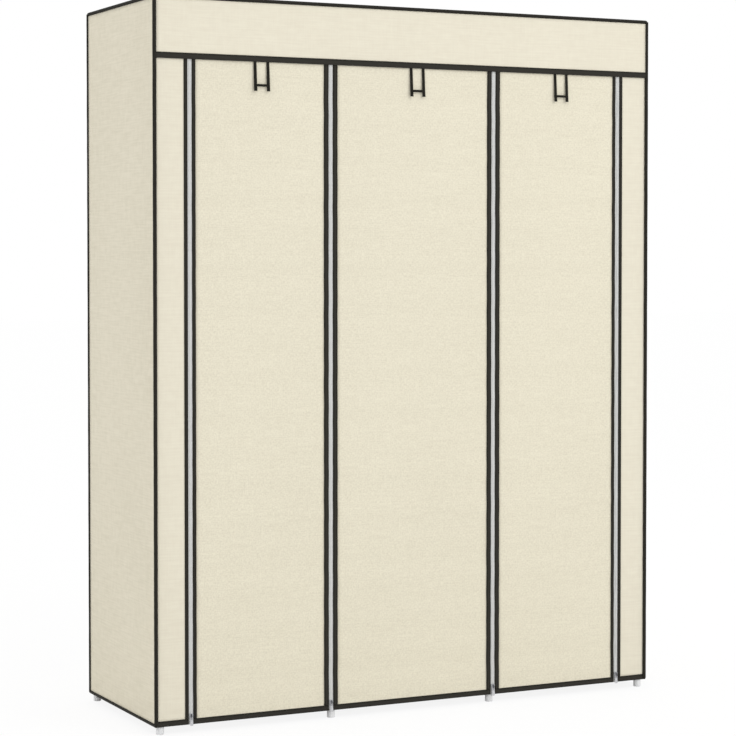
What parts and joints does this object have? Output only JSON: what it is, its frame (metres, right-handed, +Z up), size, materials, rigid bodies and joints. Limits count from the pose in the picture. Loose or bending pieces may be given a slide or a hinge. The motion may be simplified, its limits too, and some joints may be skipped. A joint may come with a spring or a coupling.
{
  "type": "portable fabric wardrobe",
  "caption": "Free-standing tube-frame wardrobe in a zipped cloth cover, with roll-up front doors, hanging bays and a column of shelves.",
  "frame": {"origin": "on the floor under the middle of the wardrobe's outer box", "axes": "+Z up, doors face -Y, +X to the right seen from the front"},
  "size_m": [1.3, 0.4512, 1.65],
  "materials": {
    "cover_cloth": "taut non-woven cream cloth",
    "black_binding": "black woven binding tape and piping",
    "zip_tape": "light grey zip tape with a nylon coil",
    "zip_metal": "plated zip metal",
    "grey_tube": "light grey coated tube with grey plastic connectors",
    "shelf_cloth": "non-woven shelf cloth"
  },
  "bodies": {
    "wardrobe": {"roof_panel": "cover_cloth", "back_panel": "cover_cloth", "left_side_panel": "cover_cloth", "right_side_panel": "cover_cloth", "valance": "cover_cloth", "left_front_strip": "cover_cloth", "right_front_strip": "cover_cloth", "cover_piping": "black_binding", "left_door_panel": "cover_cloth", "left_door_binding": "black_binding", "left_roll_tie": "black_binding", "centre_door_panel": "cover_cloth", "centre_door_binding": "black_binding", "centre_roll_tie": "black_binding", "right_door_panel": "cover_cloth", "right_door_binding": "black_binding", "right_roll_tie": "black_binding", "zip_1": "zip_tape", "zip_2": "zip_tape", "zip_3": "zip_tape", "zip_4": "zip_tape", "front_post_1": "grey_tube", "front_post_2": "grey_tube", "front_post_3": "grey_tube", "front_post_4": "grey_tube", "back_post_1": "grey_tube", "back_post_2": "grey_tube", "back_post_3": "grey_tube", "back_post_4": "grey_tube", "bottom_front_rail": "grey_tube", "bottom_back_rail": "grey_tube", "top_front_rail": "grey_tube", "top_back_rail": "grey_tube", "bottom_depth_tube_1": "grey_tube", "bottom_depth_tube_2": "grey_tube", "bottom_depth_tube_3": "grey_tube", "bottom_depth_tube_4": "grey_tube", "top_depth_tube_1": "grey_tube", "top_depth_tube_2": "grey_tube", "top_depth_tube_3": "grey_tube", "top_depth_tube_4": "grey_tube", "left_hanging_rod": "grey_tube", "right_hanging_rod": "grey_tube", "left_deck": "shelf_cloth", "centre_deck": "shelf_cloth", "right_deck": "shelf_cloth", "centre_shelf_1": "shelf_cloth", "centre_shelf_2": "shelf_cloth", "centre_shelf_3": "shelf_cloth"},
    "left_door": {"left_door_hem": "black_binding"},
    "centre_door": {"centre_door_hem": "black_binding"},
    "right_door": {"right_door_hem": "black_binding"},
    "zip_slider_1": {"zip_slider_1": "zip_metal"},
    "zip_slider_2": {"zip_slider_2": "zip_metal"},
    "zip_slider_3": {"zip_slider_3": "zip_metal"},
    "zip_slider_4": {"zip_slider_4": "zip_metal"},
    "zip_pull_1": {"zip_pull_1": "zip_metal"},
    "zip_pull_2": {"zip_pull_2": "zip_metal"},
    "zip_pull_3": {"zip_pull_3": "zip_metal"},
    "zip_pull_4": {"zip_pull_4": "zip_metal"}
  },
  "joints": [
    {"name": "left_door_roll", "type": "slide", "parent": "wardrobe", "child": "left_door", "axis": [0, 0, 1], "range_m": [0, 1.4], "deforming": ["left_door_panel", "left_door_binding", "zip_1", "zip_2"]},
    {"name": "centre_door_roll", "type": "slide", "parent": "wardrobe", "child": "centre_door", "axis": [0, 0, 1], "range_m": [0, 1.4], "deforming": ["centre_door_panel", "centre_door_binding", "zip_2", "zip_3"]},
    {"name": "right_door_roll", "type": "slide", "parent": "wardrobe", "child": "right_door", "axis": [0, 0, 1], "range_m": [0, 1.4], "deforming": ["right_door_panel", "right_door_binding", "zip_3", "zip_4"]},
    {"name": "zip_slide_1", "type": "slide", "parent": "wardrobe", "child": "zip_slider_1", "axis": [0, 0, 1], "range_m": [0, 1.44]},
    {"name": "zip_slide_2", "type": "slide", "parent": "wardrobe", "child": "zip_slider_2", "axis": [0, 0, 1], "range_m": [0, 1.44]},
    {"name": "zip_slide_3", "type": "slide", "parent": "wardrobe", "child": "zip_slider_3", "axis": [0, 0, 1], "range_m": [0, 1.44]},
    {"name": "zip_slide_4", "type": "slide", "parent": "wardrobe", "child": "zip_slider_4", "axis": [0, 0, 1], "range_m": [0, 1.44]},
    {"name": "pull_swing_1", "type": "hinge", "parent": "zip_slider_1", "child": "zip_pull_1", "pos_m": [-0.5626, -0.2233, 0.036], "axis": [-1, 0, 0], "range_deg": [0, 170]},
    {"name": "pull_swing_2", "type": "hinge", "parent": "zip_slider_2", "child": "zip_pull_2", "pos_m": [-0.2146, -0.2233, 0.036], "axis": [-1, 0, 0], "range_deg": [0, 170]},
    {"name": "pull_swing_3", "type": "hinge", "parent": "zip_slider_3", "child": "zip_pull_3", "pos_m": [0.2146, -0.2233, 0.036], "axis": [-1, 0, 0], "range_deg": [0, 170]},
    {"name": "pull_swing_4", "type": "hinge", "parent": "zip_slider_4", "child": "zip_pull_4", "pos_m": [0.5626, -0.2233, 0.036], "axis": [-1, 0, 0], "range_deg": [0, 170]}
  ]
}
